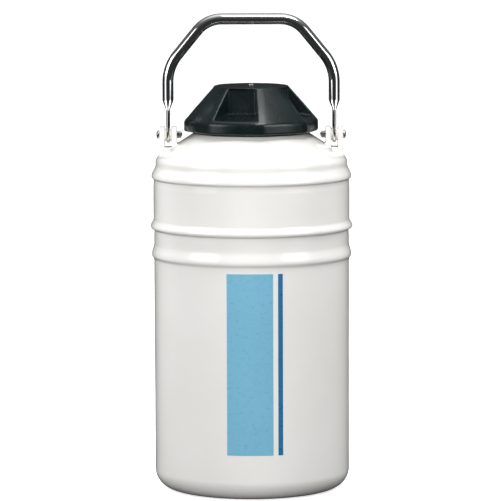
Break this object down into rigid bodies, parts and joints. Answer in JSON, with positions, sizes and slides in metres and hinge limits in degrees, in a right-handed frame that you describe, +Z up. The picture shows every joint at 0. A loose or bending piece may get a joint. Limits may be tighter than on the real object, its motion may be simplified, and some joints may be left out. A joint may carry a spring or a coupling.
{
  "type": "liquid nitrogen dewar",
  "caption": "Vacuum-insulated liquid nitrogen dewar: beaded white can, narrow neck, loose faceted insulated lid with finger pockets, and a swinging carrying bail.",
  "frame": {"origin": "centre of the base, on the surface the dewar stands on", "axes": "+Z up along the neck's axis, +X along the bail's pivot line, -Y towards the blue panel on the front"},
  "size_m": [0.2298, 0.2298, 0.5419],
  "materials": {
    "white_enamel": "gloss",
    "bare_aluminium": "satin",
    "fibreglass": "satin",
    "superinsulation": "satin",
    "sieve_cloth": "matte",
    "stainless": "satin",
    "chrome_plate": "polished",
    "seal_rubber": "matte",
    "black_plastic": "satin",
    "nylon": "satin",
    "foam": "matte",
    "brass_insert": "satin",
    "light_blue_film": "gloss",
    "dark_blue_film": "gloss"
  },
  "bodies": {
    "vessel": {"lower_shell": "white_enamel", "upper_shell": "white_enamel", "neck_ring": "bare_aluminium", "neck_tube": "fibreglass", "neck_collar": "bare_aluminium", "inner_vessel_base": "bare_aluminium", "inner_vessel_top": "bare_aluminium", "insulation_blanket": "superinsulation", "adsorbent_pack": "sieve_cloth", "getter_capsule": "stainless", "vacuum_port": "bare_aluminium", "vacuum_plug": "stainless", "port_o_ring": "seal_rubber", "port_cap": "black_plastic", "bracket_left": "white_enamel", "bracket_right": "white_enamel", "pivot_bolt_left": "stainless", "pivot_bolt_right": "stainless", "pivot_nut_left": "stainless", "pivot_nut_right": "stainless", "friction_washers_left": "nylon", "friction_washers_right": "nylon", "blue_panel": "light_blue_film", "blue_stripe": "dark_blue_film"},
    "handle": {"bail": "chrome_plate"},
    "plug": {"neck_plug": "foam", "plug_insert": "brass_insert", "lid_screw": "stainless"},
    "lid": {"lid_cap": "black_plastic", "lid_foam": "foam", "lid_skirt": "seal_rubber"}
  },
  "joints": [
    {"name": "handle_swing", "type": "hinge", "parent": "vessel", "child": "handle", "pos_m": [0, 0, 0.4045], "axis": [1, 0, 0], "range_deg": [-108, 108]},
    {"name": "lid_lift", "type": "slide", "parent": "vessel", "child": "plug", "axis": [0, 0, 1], "range_m": [0, 0.064]},
    {"name": "lid_turn", "type": "hinge", "parent": "plug", "child": "lid", "pos_m": [0, 0, 0.46], "axis": [0, 0, 1], "continuous": true}
  ]
}
